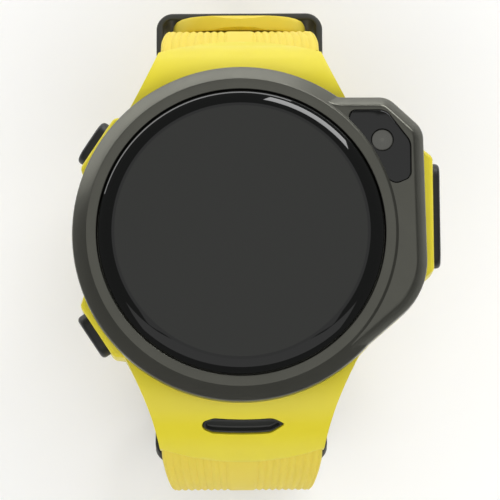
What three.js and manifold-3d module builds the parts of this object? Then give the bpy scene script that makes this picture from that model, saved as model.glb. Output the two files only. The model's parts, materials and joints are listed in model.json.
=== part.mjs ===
// Round-display wrist watch with a camera shoulder, three side buttons and a buckled strap.
// Millimetres. +Z points out of the display, +Y to 12 o'clock, +X to 3 o'clock.
// The watch stands on the flat back of its closed strap loop, and the origin is on that flat,
// straight under the middle of the display.
import * as THREE from "three";
import { mergeVertices } from "three/addons/utils/BufferGeometryUtils.js";
import Module from "manifold-3d";

const wasm = await Module();
wasm.setup();

// ---- driving dimensions ----
const GAP = 0.3; // clearance between pieces that meet
const TURN_STEPS = 48; // facets round the large turned pieces
const BEZEL_STEPS = 60; // round the bezel and glass
const SMALL_STEPS = 20; // and round the small ones

// heights above the table
const GLASS_TOP = 52;
const BEZEL_TOP = GLASS_TOP - 0.9;
const SHOULDER_TOP = BEZEL_TOP - 0.3;
const BEZEL_WALL_TOP = BEZEL_TOP - 1.6;
const BEZEL_BASE = 47;
const GLASS_LEDGE = 49;
const CASE_TOP = BEZEL_BASE - GAP;
const CASE_FLOOR = 40.2;
const CASE_BASE = 39;
const COVER_BASE = 36.9;
const COVER_TOP = CASE_BASE - 0.5;

// display and bezel radii
const GLASS_RADIUS = 18.35;
const GLASS_FLAT_RADIUS = 16.56;
const GLASS_EDGE_DROP = 1;
const GLASS_EDGE_HEIGHT = 1.3;
const BEZEL_BORE = 18.55;
const BEZEL_FLAT_RADIUS = 19.88;
const BEZEL_RADIUS = 21.75;
const LEDGE_BORE = 16.8;
const DISPLAY_RADIUS = 16.4;
const CASE_RADIUS = 21.5;
const CAVITY_RADIUS = 18.6;
const FLOOR_BORE = 15;
const COVER_RADIUS = 18.2;

// camera shoulder
const SHOULDER_CHAMFER = 1.3;
const LENS_CENTRE = [18.25, 11.8];
const LENS_RADIUS = 1.41;
const WINDOW_DEPTH = 0.8;

// lugs
const LUG_END_ANGLE = { 1: rad(33.2), [-1]: rad(28.5) }; // seen from the middle of the strap's side arc
const LUG_WIDTH = 21.4;
const POCKET_WIDTH = 17.4;
const KNUCKLE_WIDTH = 16.8;
const KNUCKLE_RISE = rad(4.3); // above the lug's end face
const KNUCKLE_OFFSET = -1.8; // inside the middle of the strap
const KNUCKLE_RADIUS = 1.5;
const LUG_BAR_RADIUS = 0.65;
const LUG_BAR_LENGTH = 19.4;

// strap loop, seen from the side: side arc, corner arc and flat back on the 12 o'clock side, and the
// same on the 6 o'clock side with a longer flat
const STRAP_THICKNESS = 2;
const LAYER_PITCH = STRAP_THICKNESS + GAP;
const BACK_HEIGHT = STRAP_THICKNESS * 1.5 + GAP; // middle of the inner layer at the flat back
const SIDE_RADIUS = 25;
const SIDE_Y = 4.7;
const SIDE_Z = 27;
const LOWER_SHIFT = 1; // how much further out the 6 o'clock side stands
const CORNER_RADIUS = 14;
const CORNER_Z = BACK_HEIGHT + CORNER_RADIUS;
const CORNER_ANGLE = Math.asin((SIDE_Z - CORNER_Z) / (SIDE_RADIUS - CORNER_RADIUS));
const CORNER_Y = SIDE_Y + (SIDE_RADIUS - CORNER_RADIUS) * Math.cos(CORNER_ANGLE);
const LOWER_SIDE_Y = -SIDE_Y - LOWER_SHIFT;
const STRAP_GAP_ANGLE = rad(0.8); // between a lug's end face and the strap
const STRAP_WAIST = 19.4; // width where the loop is widest
const STRAP_BACK_WIDTH = 18.4;
const TIP_HEIGHT = 30.5;
const HOLE_PITCH = 5.3;
const HOLE_LENGTH = 4;
const HOLE_WIDTH = 2.4;
const HOLES = 11;
const FIRST_HOLE = -3.5 * HOLE_PITCH - LOWER_SHIFT; // the one the tongue is in, along the outer layer

// buckle, on the 6 o'clock side of the loop's back
const PIN_ANGLE = rad(64.6);
const PIN_OFFSET = -0.6;
const PIN_RADIUS = 0.7;
const PIN_BORE = 0.95;
const PIN_LENGTH = 22.4;
const PIN_EYE_RADIUS = 1.6;
const BAR_ANGLE = rad(42.3);
const BAR_HALF_ANGLE = rad(2.2);
const FRAME_WIDTH = 24.4;
const FRAME_BORE = 19.2;
const TONGUE_WIDTH = 2;
const TONGUE_SLOT = 2.8;
const TONGUE_THICKNESS = 1.1;

// keeper, on the 12 o'clock side of the loop
const KEEPER_ANGLE = rad(-9);
const KEEPER_HALF_ANGLE = rad(6.2);
const KEEPER_WALL = 0.95;
const KEEPER_WIDTH = 22.9;

// buttons: angle of the push direction, seat and cap faces along it, middle and size of the cap
const BUTTON_Z = 43.9;
const BUTTON_HEIGHT = 3.6;
const BUTTON_ROOM = 0.8; // behind the cap
const STEM_RADIUS = 0.8;
const STEM_END = 17.3;
const SWITCH_FACE = 16.5;
const SIDE_BUTTON = { seat: 22.4, face: 23.6, inner: 20.8, along: 0, length: 6.3, seatEnds: [-3.9, 3.9] };
const BUTTONS = {
  upper_left: { ...SIDE_BUTTON, angle: rad(180 - 33.5) },
  lower_left: { ...SIDE_BUTTON, angle: rad(180 + 33.5) },
  right: { angle: 0, seat: 25, face: 25.95, inner: 23.2, along: 2.85, length: 13.8, seatEnds: [-4.6, 10.3] },
};

// ---- materials ----
const plastic = (color, roughness) => new THREE.MeshStandardMaterial({ color, roughness, metalness: 0 });
const metal = (color, roughness) => new THREE.MeshStandardMaterial({ color, roughness, metalness: 1 });
const YELLOW_CASE = plastic(0xe2d33f, 0.5);
const YELLOW_SILICONE = plastic(0xe4d250, 0.7);
const BLACK_SATIN = plastic(0x2c2d2a, 0.45);
const BLACK_GLOSS = plastic(0x161716, 0.12);
const DISPLAY_BLACK = plastic(0x1d1e1c, 0.3);
const GLASS = plastic(0x3a3b37, 0.08);
const LENS_GREY = plastic(0x5a5a54, 0.15);
const SEAL_RUBBER = plastic(0x202020, 0.85);
const BOARD_GREEN = plastic(0x1f5a3a, 0.6);
const CELL_SILVER = metal(0xb4b6b8, 0.4);
const STEEL = metal(0xc4c6c8, 0.3);
const GOLD = metal(0xd9b45a, 0.25);
const BLACK_METAL = metal(0x1e1f1e, 0.45);

// ---- helpers ----
function rad(degrees) {
  return (degrees * Math.PI) / 180;
}

function toSolid(geometry) {
  const bare = geometry.clone();
  bare.deleteAttribute("normal");
  bare.deleteAttribute("uv");
  const merged = mergeVertices(bare, 1e-4);
  return new wasm.Manifold(
    new wasm.Mesh({
      numProp: 3,
      vertProperties: merged.attributes.position.array,
      triVerts: new Uint32Array(merged.index.array),
    }),
  );
}

function toGeometry(solid) {
  const made = solid.getMesh();
  const geometry = new THREE.BufferGeometry();
  geometry.setAttribute("position", new THREE.BufferAttribute(Float32Array.from(made.vertProperties), 3));
  geometry.setIndex(new THREE.BufferAttribute(Uint32Array.from(made.triVerts), 1));
  geometry.computeVertexNormals();
  return geometry;
}

function piece(name, solid, material, parent) {
  const mesh = new THREE.Mesh(toGeometry(solid), material);
  mesh.name = name;
  parent.add(mesh);
  return mesh;
}

// A plan outline (X, Y) made a plate from one height to another.
function plate(shape, low, high, curveSegments = 6) {
  const options = { depth: high - low, bevelEnabled: false, curveSegments };
  return toSolid(new THREE.ExtrudeGeometry(shape, options).translate(0, 0, low));
}

// A side outline (Y, Z) made as wide as width, centred on X = middle.
function sideBlock(shape, width, middle = 0, curveSegments = 8) {
  const options = { depth: width, bevelEnabled: false, curveSegments };
  const turn = new THREE.Matrix4().makeBasis(
    new THREE.Vector3(0, 1, 0),
    new THREE.Vector3(0, 0, 1),
    new THREE.Vector3(1, 0, 0),
  );
  const geometry = new THREE.ExtrudeGeometry(shape, options).applyMatrix4(turn);
  return toSolid(geometry.translate(middle - width / 2, 0, 0));
}

// A front outline (X, Z) carried from one Y to a higher one.
function frontBlock(shape, nearY, farY) {
  const options = { depth: farY - nearY, bevelEnabled: false, curveSegments: 5 };
  const turn = new THREE.Matrix4().makeBasis(
    new THREE.Vector3(1, 0, 0),
    new THREE.Vector3(0, 0, 1),
    new THREE.Vector3(0, -1, 0),
  );
  const geometry = new THREE.ExtrudeGeometry(shape, options).applyMatrix4(turn);
  return toSolid(geometry.translate(0, farY, 0));
}

// A closed profile of [radius, height] pairs turned about Z.
function turned(profile, steps = TURN_STEPS) {
  const points = profile.map(([r, z]) => new THREE.Vector2(r, z));
  return toSolid(new THREE.LatheGeometry(points, steps).rotateX(Math.PI / 2));
}

function ring(inner, outer, low, high, steps = TURN_STEPS) {
  return turned([[inner, low], [outer, low], [outer, high], [inner, high], [inner, low]], steps);
}

function disc(radius, low, high, steps = TURN_STEPS) {
  const geometry = new THREE.CylinderGeometry(radius, radius, high - low, steps);
  return toSolid(geometry.rotateX(Math.PI / 2).translate(0, 0, (low + high) / 2));
}

// A round bar along X at a point of the side view.
function crossBar([y, z], radius, width, steps = SMALL_STEPS) {
  const geometry = new THREE.CylinderGeometry(radius, radius, width, steps);
  return toSolid(geometry.rotateZ(Math.PI / 2).translate(0, y, z));
}

function box(x0, x1, y0, y1, z0, z1) {
  const geometry = new THREE.BoxGeometry(x1 - x0, y1 - y0, z1 - z0);
  return toSolid(geometry.translate((x0 + x1) / 2, (y0 + y1) / 2, (z0 + z1) / 2));
}

function polygon(points) {
  return new THREE.Shape(points.map(([a, b]) => new THREE.Vector2(a, b)));
}

// An outline with a round end on both sides, centred on the origin.
function slotShape(length, width) {
  const straight = (length - width) / 2;
  const shape = new THREE.Shape();
  shape.absarc(straight, 0, width / 2, -Math.PI / 2, Math.PI / 2, false);
  shape.absarc(-straight, 0, width / 2, Math.PI / 2, (3 * Math.PI) / 2, false);
  return shape;
}

// A polygon with each corner rounded by its own setback: points are [x, y, setback].
function roundedShape(points) {
  const shape = new THREE.Shape();
  points.forEach(([x, y, setback], i) => {
    const here = new THREE.Vector2(x, y);
    const [bx, by] = points[(i + points.length - 1) % points.length];
    const [ax, ay] = points[(i + 1) % points.length];
    const back = new THREE.Vector2(bx, by).sub(here);
    const ahead = new THREE.Vector2(ax, ay).sub(here);
    const start = back.clone().setLength(Math.min(setback, 0.45 * back.length())).add(here);
    const end = ahead.clone().setLength(Math.min(setback, 0.45 * ahead.length())).add(here);
    if (i === 0) shape.moveTo(start.x, start.y);
    else shape.lineTo(start.x, start.y);
    shape.quadraticCurveTo(x, y, end.x, end.y);
  });
  return shape;
}

// ---- the strap loop ----
// A point on the side arc at an angle above the horizontal, on the 12 o'clock (1) or 6 o'clock (-1) side.
const sideShift = (side) => (side < 0 ? LOWER_SHIFT : 0);

function sidePoint(angle, offset, side) {
  const reach = SIDE_RADIUS + offset;
  return [side * (SIDE_Y + sideShift(side) + reach * Math.cos(angle)), SIDE_Z + reach * Math.sin(angle)];
}

function cornerPoint(angle, offset, side) {
  const reach = CORNER_RADIUS + offset;
  const out = CORNER_Y + sideShift(side) + reach * Math.cos(angle);
  return [side * out, CORNER_Z + reach * Math.sin(angle)];
}

// The face of a layer, from an angle on the 12 o'clock side round the back to one on the other side.
function traceFace(path, offset, start, end, backwards) {
  const side = SIDE_RADIUS + offset;
  const corner = CORNER_RADIUS + offset;
  const arcs = [
    [SIDE_Y, SIDE_Z, side, start, -CORNER_ANGLE],
    [CORNER_Y, CORNER_Z, corner, -CORNER_ANGLE, -Math.PI / 2],
    [-CORNER_Y - LOWER_SHIFT, CORNER_Z, corner, -Math.PI / 2, CORNER_ANGLE - Math.PI],
  ];
  if (end < CORNER_ANGLE) arcs.push([LOWER_SIDE_Y, SIDE_Z, side, CORNER_ANGLE - Math.PI, end - Math.PI]);
  else arcs[2][4] = end - Math.PI;
  if (!backwards) arcs.forEach(([y, z, r, from, to]) => path.absarc(y, z, r, from, to, true));
  else arcs.reverse().forEach(([y, z, r, from, to]) => path.absarc(y, z, r, to, from, false));
}

// A place on a layer by its distance from the middle of the flat back: the point and the outward angle.
function alongLayer(distance, offset) {
  const side = Math.sign(distance) || 1;
  let rest = Math.abs(distance);
  const flat = CORNER_Y + sideShift(side);
  if (rest <= flat) return { at: [side * rest, BACK_HEIGHT - offset], out: -Math.PI / 2 };
  rest -= flat;
  const cornerLength = (Math.PI / 2 - CORNER_ANGLE) * (CORNER_RADIUS + offset);
  let angle = -Math.PI / 2 + rest / (CORNER_RADIUS + offset);
  let at = cornerPoint(angle, offset, side);
  if (rest > cornerLength) {
    angle = -CORNER_ANGLE + (rest - cornerLength) / (SIDE_RADIUS + offset);
    at = sidePoint(angle, offset, side);
  }
  return { at, out: side > 0 ? angle : Math.PI - angle };
}

// A piece of the band between two offsets and two angles of the 12 o'clock side arc.
function sideBand(inner, outer, from, to, width, side = 1) {
  const shape = new THREE.Shape();
  if (side > 0) {
    shape.absarc(SIDE_Y, SIDE_Z, SIDE_RADIUS + outer, from, to, false);
    shape.absarc(SIDE_Y, SIDE_Z, SIDE_RADIUS + inner, to, from, true);
  } else {
    shape.absarc(LOWER_SIDE_Y, SIDE_Z, SIDE_RADIUS + outer, Math.PI - from, Math.PI - to, true);
    shape.absarc(LOWER_SIDE_Y, SIDE_Z, SIDE_RADIUS + inner, Math.PI - to, Math.PI - from, false);
  }
  shape.closePath();
  return sideBlock(shape, width);
}

const HALF = STRAP_THICKNESS / 2;
const fromLugEnd = (degrees, offset, side) => sidePoint(LUG_END_ANGLE[side] + rad(degrees), offset, side);
const knuckleCentre = (side) => sidePoint(LUG_END_ANGLE[side] + KNUCKLE_RISE, KNUCKLE_OFFSET, side);
const strapStart = (side) => LUG_END_ANGLE[side] - STRAP_GAP_ANGLE;
const PIN = cornerPoint(-PIN_ANGLE, PIN_OFFSET, -1);

// Front outline that the strap tapers to, from the lug down to the back.
function taperShape() {
  const lug = LUG_WIDTH / 2;
  const waist = STRAP_WAIST / 2;
  const back = STRAP_BACK_WIDTH / 2;
  return polygon([
    [-lug, GLASS_TOP], [-lug, 42], [-waist - 0.3, 34], [-waist, 27], [-back, 14], [-back, -1],
    [back, -1], [back, 14], [waist, 27], [waist + 0.3, 34], [lug, 42], [lug, GLASS_TOP],
  ]);
}

// Front outline of the loose end: straight sides and a round tip.
function tipShape() {
  const back = STRAP_BACK_WIDTH / 2;
  const shape = new THREE.Shape();
  shape.moveTo(-back, -1);
  shape.lineTo(back, -1);
  shape.lineTo(back, TIP_HEIGHT - 6);
  shape.bezierCurveTo(back, TIP_HEIGHT - 2.2, 4.6, TIP_HEIGHT, 0, TIP_HEIGHT);
  shape.bezierCurveTo(-4.6, TIP_HEIGHT, -back, TIP_HEIGHT - 2.2, -back, TIP_HEIGHT - 6);
  shape.closePath();
  return shape;
}

// The eye and neck by which a strap half hangs on its lug bar.
function lugKnuckle(side) {
  const centre = knuckleCentre(side);
  const neck = polygon([
    fromLugEnd(-2.2, -2.4, side), fromLugEnd(-2.2, 0.4, side), fromLugEnd(4.3, -0.6, side),
    fromLugEnd(4.3, -2.6, side),
  ]);
  return sideBlock(neck, KNUCKLE_WIDTH)
    .add(crossBar(centre, KNUCKLE_RADIUS, KNUCKLE_WIDTH))
    .subtract(crossBar(centre, LUG_BAR_RADIUS + 0.25, KNUCKLE_WIDTH + 1));
}

// The thick root where a strap half meets its lug.
function strapRoot(side) {
  const shape = polygon([
    sidePoint(strapStart(side), HALF, side), sidePoint(strapStart(side), -2.2, side),
    fromLugEnd(-7.2, -1.6, side), fromLugEnd(-13.2, -HALF, side), fromLugEnd(-13.2, 0, side),
    fromLugEnd(-7.2, HALF - 0.1, side),
  ]);
  return sideBlock(shape, LUG_WIDTH);
}

function strapShort() {
  const shape = new THREE.Shape();
  traceFace(shape, HALF, strapStart(1), PIN_ANGLE, false);
  traceFace(shape, -HALF, strapStart(1), PIN_ANGLE, true);
  shape.closePath();
  const band = sideBlock(shape, LUG_WIDTH + 1)
    .add(strapRoot(1))
    .intersect(frontBlock(taperShape(), -40, 40));
  const eye = crossBar(PIN, PIN_EYE_RADIUS, STRAP_BACK_WIDTH).subtract(crossBar(PIN, PIN_BORE, 30));
  const [pinY, pinZ] = PIN;
  const slot = box(-TONGUE_SLOT / 2, TONGUE_SLOT / 2, pinY - 4, pinY + 2.4, pinZ - 4, pinZ + 4);
  return band.subtract(crossBar(PIN, PIN_BORE, 30)).add(eye).subtract(slot).add(lugKnuckle(1));
}

function strapLong() {
  const outer = LAYER_PITCH + HALF;
  const inner = LAYER_PITCH - HALF;
  const tuckStart = rad(46); // below here the band leaves the inner layer for the outer one
  const tuckEnd = rad(58.5);
  const shape = new THREE.Shape();
  traceFace(shape, outer, rad(16), tuckEnd, false);
  const start = -Math.PI - strapStart(-1);
  shape.absarc(LOWER_SIDE_Y, SIDE_Z, SIDE_RADIUS + HALF, tuckStart - Math.PI, start, true);
  shape.absarc(LOWER_SIDE_Y, SIDE_Z, SIDE_RADIUS - HALF, start, tuckStart - Math.PI, false);
  traceFace(shape, inner, rad(16), tuckEnd, true);
  shape.closePath();
  const outline = frontBlock(taperShape(), -40, 0).add(frontBlock(tipShape(), -0.01, 40));
  let band = sideBlock(shape, LUG_WIDTH + 1).add(strapRoot(-1)).intersect(outline);
  for (let i = 0; i < HOLES; i++) band = band.subtract(strapHole(FIRST_HOLE + i * HOLE_PITCH));
  return band.add(lugKnuckle(-1));
}

function strapHole(distance) {
  const { at, out } = alongLayer(distance, LAYER_PITCH);
  const options = { depth: STRAP_THICKNESS * 2, bevelEnabled: false, curveSegments: 4 };
  const geometry = new THREE.ExtrudeGeometry(slotShape(HOLE_LENGTH, HOLE_WIDTH), options);
  const turn = new THREE.Matrix4().makeBasis(
    new THREE.Vector3(0, -Math.sin(out), Math.cos(out)),
    new THREE.Vector3(1, 0, 0),
    new THREE.Vector3(0, Math.cos(out), Math.sin(out)),
  );
  geometry.translate(0, 0, -STRAP_THICKNESS).applyMatrix4(turn).translate(0, at[0], at[1]);
  return toSolid(geometry);
}

// ---- buckle and keeper ----
function buckleFrame() {
  const armOuter = 3.1;
  const arm = new THREE.Shape();
  arm.moveTo(...sidePoint(-(BAR_ANGLE - BAR_HALF_ANGLE), 0.4, -1));
  arm.lineTo(...sidePoint(-(BAR_ANGLE - BAR_HALF_ANGLE), armOuter, -1));
  arm.lineTo(...sidePoint(-rad(47), armOuter, -1));
  arm.lineTo(...sidePoint(-rad(53), 2.4, -1));
  arm.lineTo(...sidePoint(-rad(59), 1.1, -1));
  arm.absarc(PIN[0], PIN[1], PIN_EYE_RADIUS, rad(235), rad(430), false);
  arm.lineTo(...sidePoint(-rad(53), -1.6, -1));
  arm.closePath();
  const armWidth = (FRAME_WIDTH - FRAME_BORE) / 2;
  const armMiddle = (FRAME_WIDTH + FRAME_BORE) / 4;
  const barFrom = -(BAR_ANGLE + BAR_HALF_ANGLE);
  const barTo = -(BAR_ANGLE - BAR_HALF_ANGLE);
  const bar = sideBand(HALF + GAP, armOuter, barFrom, barTo, FRAME_WIDTH, -1);
  return bar
    .add(sideBlock(arm, armWidth, armMiddle))
    .add(sideBlock(arm, armWidth, -armMiddle))
    .subtract(crossBar(PIN, PIN_BORE, PIN_LENGTH + GAP));
}

function buckleTongue() {
  const half = TONGUE_THICKNESS / 2;
  const rest = 3.1 + 0.2 + half; // middle of the tongue where it lies on the bar
  const spine = [PIN, sidePoint(-rad(60.5), 2.3, -1), sidePoint(-rad(55.5), rest + 0.1, -1),
    sidePoint(-rad(48), rest + 0.2, -1), sidePoint(-BAR_ANGLE, rest, -1),
    sidePoint(-rad(38.8), rest - 0.1, -1)];
  const places = spine.map(([y, z]) => new THREE.Vector3(y, z, 0));
  const curve = new THREE.CatmullRomCurve3(places, false, "centripetal");
  const edge = (sign) => curve.getSpacedPoints(18).map((point, i) => {
    const tangent = curve.getTangentAt(i / 18);
    return [point.x - sign * half * tangent.y, point.y + sign * half * tangent.x];
  });
  const blade = sideBlock(polygon([...edge(1), ...edge(-1).reverse()]), TONGUE_WIDTH);
  return blade
    .add(crossBar(PIN, PIN_EYE_RADIUS - 0.1, TONGUE_WIDTH))
    .subtract(crossBar(PIN, PIN_BORE, TONGUE_WIDTH + 1));
}

function keeper() {
  const inner = -HALF - GAP;
  const outer = LAYER_PITCH + HALF + GAP;
  const from = KEEPER_ANGLE - KEEPER_HALF_ANGLE;
  const to = KEEPER_ANGLE + KEEPER_HALF_ANGLE;
  const body = sideBand(inner - KEEPER_WALL, outer + KEEPER_WALL, from, to, KEEPER_WIDTH);
  return body.subtract(sideBand(inner, outer, from - 0.1, to + 0.1, KEEPER_WIDTH - 2 * KEEPER_WALL));
}

// ---- case ----
function lugPlan(side) {
  const end = side > 0 ? 27 : 28.7;
  const shape = new THREE.Shape();
  shape.moveTo(-LUG_WIDTH / 2, side * 32);
  shape.lineTo(-LUG_WIDTH / 2, side * end);
  shape.quadraticCurveTo(-12.2, side * 21.5, -16.2, side * 13.8);
  shape.lineTo(16.2, side * 13.8);
  shape.quadraticCurveTo(12.2, side * 21.5, LUG_WIDTH / 2, side * end);
  shape.lineTo(LUG_WIDTH / 2, side * 32);
  shape.closePath();
  return shape;
}

// Side outline of one lug, from inside the case wall to the end face that the strap meets.
function lugSide(side) {
  const [topY, topZ] = fromLugEnd(0, HALF, side);
  const [lowY, lowZ] = fromLugEnd(0, -2.6, side);
  const shape = new THREE.Shape();
  shape.moveTo(side * 13, CASE_BASE);
  shape.lineTo(side * 20.8, CASE_BASE);
  shape.lineTo(lowY, lowZ);
  shape.lineTo(topY, topZ);
  shape.quadraticCurveTo(side * 24.7, 45.4, side * 20.5, CASE_TOP);
  shape.lineTo(side * 13, CASE_TOP);
  shape.closePath();
  return shape;
}

function lug(side) {
  const body = sideBlock(lugSide(side), 40).intersect(plate(lugPlan(side), CASE_BASE - 3, CASE_TOP + 1));
  const pocket = polygon([
    fromLugEnd(-3.2, 0.2, side), fromLugEnd(6.8, 0.2, side), fromLugEnd(9.8, -1.6, side),
    fromLugEnd(9.8, -3.9, side), fromLugEnd(2.8, -6, side), fromLugEnd(-3.2, -6, side),
  ]);
  const centre = knuckleCentre(side);
  return body
    .subtract(sideBlock(pocket, POCKET_WIDTH))
    .subtract(crossBar(centre, LUG_BAR_RADIUS + 0.1, LUG_BAR_LENGTH + GAP));
}

// Outline of the camera shoulder; grow moves it outwards.
function shoulderShape(grow) {
  const g = grow;
  return roundedShape([
    [0, 0, 1], [13.9 + g, -16.5 - g, 1], [24 + g, -7.75 - g, 4.1], [23.6 + g, 13.4 + g, 1.3],
    [19.05, 17.65 + g, 1.2], [12.4, 17.65 + g, 1.4], [10.2, 18.9 + g, 1],
  ]);
}

function seatShape({ seat, seatEnds }) {
  const [low, high] = seatEnds;
  return polygon([
    [12, low - 1], [seat - 1.6, low - 1], [seat, low],
    [seat, high], [seat - 1.6, high + 1], [12, high + 1],
  ]);
}

// Turns a solid made along +X to a button's push direction.
function towards(solid, angle) {
  return solid.rotate([0, 0, (angle * 180) / Math.PI]);
}

function capSlot({ along, length }, grow, from, to) {
  const shape = slotShape(length + 2 * grow, BUTTON_HEIGHT + 2 * grow);
  const options = { depth: to - from, bevelEnabled: false, curveSegments: 5 };
  const turn = new THREE.Matrix4().makeBasis(
    new THREE.Vector3(0, 1, 0),
    new THREE.Vector3(0, 0, 1),
    new THREE.Vector3(1, 0, 0),
  );
  const geometry = new THREE.ExtrudeGeometry(shape, options).applyMatrix4(turn);
  return toSolid(geometry.translate(from, along, BUTTON_Z));
}

function stemBar(along, radius, from, to, steps = 16) {
  const geometry = new THREE.CylinderGeometry(radius, radius, to - from, steps);
  return toSolid(geometry.rotateZ(Math.PI / 2).translate((from + to) / 2, along, BUTTON_Z));
}

function middleCase() {
  let body = disc(CASE_RADIUS, CASE_BASE, CASE_TOP);
  body = body.add(plate(shoulderShape(-0.25), CASE_BASE + 1.4, CASE_TOP));
  for (const button of Object.values(BUTTONS)) {
    body = body.add(towards(plate(seatShape(button), BUTTON_Z - 3, CASE_TOP), button.angle));
  }
  body = body.add(lug(1)).add(lug(-1));
  body = body.subtract(disc(CAVITY_RADIUS, CASE_FLOOR, CASE_TOP + 1));
  body = body.subtract(disc(FLOOR_BORE, CASE_BASE - 1, CASE_FLOOR + 1));
  for (const button of Object.values(BUTTONS)) {
    const recess = capSlot(button, GAP, button.inner - BUTTON_ROOM, button.face + 3);
    const bore = stemBar(button.along, STEM_RADIUS + 0.75, 15, button.inner);
    body = body.subtract(towards(recess.add(bore), button.angle));
  }
  for (const [x, y] of screwPlaces()) body = body.subtract(screwHole(x, y));
  return body.subtract(outletRecess());
}

function bezel() {
  const outer = turned([
    [LEDGE_BORE, GLASS_LEDGE - 1.2], [LEDGE_BORE + 1.6, GLASS_LEDGE - 1.2], [LEDGE_BORE + 1.6, BEZEL_BASE],
    [BEZEL_RADIUS, BEZEL_BASE], [BEZEL_RADIUS, BEZEL_WALL_TOP], [BEZEL_FLAT_RADIUS, BEZEL_TOP],
    [BEZEL_BORE, BEZEL_TOP], [BEZEL_BORE, GLASS_LEDGE], [LEDGE_BORE, GLASS_LEDGE], [LEDGE_BORE, GLASS_LEDGE - 1.2],
  ], BEZEL_STEPS);
  const wallTop = SHOULDER_TOP - SHOULDER_CHAMFER;
  const wall = wallTop - BEZEL_BASE + 2;
  const chamfered = new THREE.ExtrudeGeometry(shoulderShape(-SHOULDER_CHAMFER), {
    depth: wall, bevelEnabled: true, bevelThickness: SHOULDER_CHAMFER, bevelSize: SHOULDER_CHAMFER,
    bevelSegments: 1, curveSegments: 3,
  }).translate(0, 0, wallTop - wall);
  const shoulder = toSolid(chamfered)
    .intersect(box(-5, 40, -40, 40, BEZEL_BASE, GLASS_TOP))
    .subtract(disc((BEZEL_BORE + BEZEL_FLAT_RADIUS) / 2, BEZEL_BASE - 1, GLASS_TOP, BEZEL_STEPS));
  const cameraWell = plate(windowShape(GAP / 2), SHOULDER_TOP - WINDOW_DEPTH - 0.2, GLASS_TOP);
  const cameraBore = disc(LENS_RADIUS + 0.7, BEZEL_BASE - 1, GLASS_TOP, SMALL_STEPS).translate([...LENS_CENTRE, 0]);
  return outer.add(shoulder).subtract(cameraWell).subtract(cameraBore);
}

// ---- camera ----
function windowShape(grow) {
  const g = grow;
  return roundedShape([
    [13.7 - g, 13.9, 0.7], [14.3 - g, 15.7 + g, 1], [18.8, 15.7 + g, 1.4], [21.9 + g, 11.6, 1.6],
    [21.9 + g, 6.9, 0.9], [19.9, 6.1 - g, 1], [18.2 - g, 7.2, 0.9],
  ]);
}

function cameraWindow() {
  const high = SHOULDER_TOP + 0.05;
  const hole = disc(LENS_RADIUS + 0.05, SHOULDER_TOP - 3, GLASS_TOP, SMALL_STEPS).translate([...LENS_CENTRE, 0]);
  return plate(windowShape(0), SHOULDER_TOP - WINDOW_DEPTH, high, 4).subtract(hole);
}

function cameraLens() {
  const low = SHOULDER_TOP - 0.95;
  const high = SHOULDER_TOP - 0.1;
  return turned([[0, low], [LENS_RADIUS - 0.05, low], [LENS_RADIUS - 0.05, high - 0.12],
    [LENS_RADIUS - 0.3, high], [0, high]], SMALL_STEPS).translate([...LENS_CENTRE, 0]);
}

function cameraModule() {
  const barrel = disc(LENS_RADIUS + 0.35, 47.4, SHOULDER_TOP - 1.15, SMALL_STEPS);
  return barrel.translate([...LENS_CENTRE, 0]);
}

// ---- display ----
function coverGlass() {
  const low = GLASS_TOP - GLASS_EDGE_DROP - GLASS_EDGE_HEIGHT;
  return turned([[0, low], [GLASS_RADIUS, low], [GLASS_RADIUS, GLASS_TOP - GLASS_EDGE_DROP],
    [GLASS_RADIUS - 0.5, GLASS_TOP - 0.6], [GLASS_FLAT_RADIUS + 0.5, GLASS_TOP - 0.1],
    [GLASS_FLAT_RADIUS, GLASS_TOP], [0, GLASS_TOP]], BEZEL_STEPS);
}

// ---- outlet trim on the lower lug ----
const OUTLET = { y: -24.6, z: 44.2, tilt: rad(42.2), length: 10.6, width: 2.7 };

function onLug(geometry) {
  return toSolid(geometry.rotateX(OUTLET.tilt).translate(0.15, OUTLET.y, OUTLET.z));
}

function outletRecess() {
  const shape = slotShape(OUTLET.length + 0.3, OUTLET.width + 0.3);
  const options = { depth: 6, bevelEnabled: false, curveSegments: 5 };
  return onLug(new THREE.ExtrudeGeometry(shape, options).translate(0, 0, -0.95));
}

function outletTrim() {
  const options = { depth: 0.9, bevelEnabled: false, curveSegments: 5 };
  const rim = slotShape(OUTLET.length, OUTLET.width);
  const body = onLug(new THREE.ExtrudeGeometry(rim, options).translate(0, 0, -0.8));
  const dish = slotShape(OUTLET.length - 1, OUTLET.width - 1);
  return body.subtract(onLug(new THREE.ExtrudeGeometry(dish, options).translate(0, 0, -0.35)));
}

// ---- buttons, their seals and switches ----
function buttonSolid(button) {
  const cap = capSlot(button, 0, button.inner, button.face - 0.35);
  const crown = capSlot(button, -0.3, button.inner + 0.1, button.face);
  return cap.add(crown).add(stemBar(button.along, STEM_RADIUS, STEM_END, button.inner + 0.23));
}

function buttonSeal(button) {
  const near = CAVITY_RADIUS + 0.2;
  const sleeve = stemBar(button.along, STEM_RADIUS + 0.55, near, near + 0.7);
  return sleeve.subtract(stemBar(button.along, STEM_RADIUS + 0.15, near - 1, near + 2));
}

function buttonSwitch(button) {
  const { along } = button;
  const back = SWITCH_FACE - 0.4;
  const can = box(back - 0.9, back, along - 1.6, along + 1.6, BUTTON_Z - 1.3, BUTTON_Z + 1.3);
  return can.add(stemBar(along, 0.7, SWITCH_FACE - 0.6, SWITCH_FACE, 16));
}

// ---- inside the case ----
function mainBoard() {
  return disc(15, 46.1, 46.9, 48)
    .subtract(box(-20, -9, -20, 20, 40, 50))
    .subtract(box(10.5, 20, -20, 20, 40, 50));
}

function batteryCell() {
  return plate(roundedShape([[-9, -11.5, 1.2], [9, -11.5, 1.2], [9, 8, 1.2], [-9, 8, 1.2]]), 40.7, 45.6, 4);
}

function speakerUnit() {
  return plate(roundedShape([[-6, -16.6, 1], [6, -16.6, 1], [6, -12.4, 1], [-6, -12.4, 1]]), 40.7, 44.4, 4);
}

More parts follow.
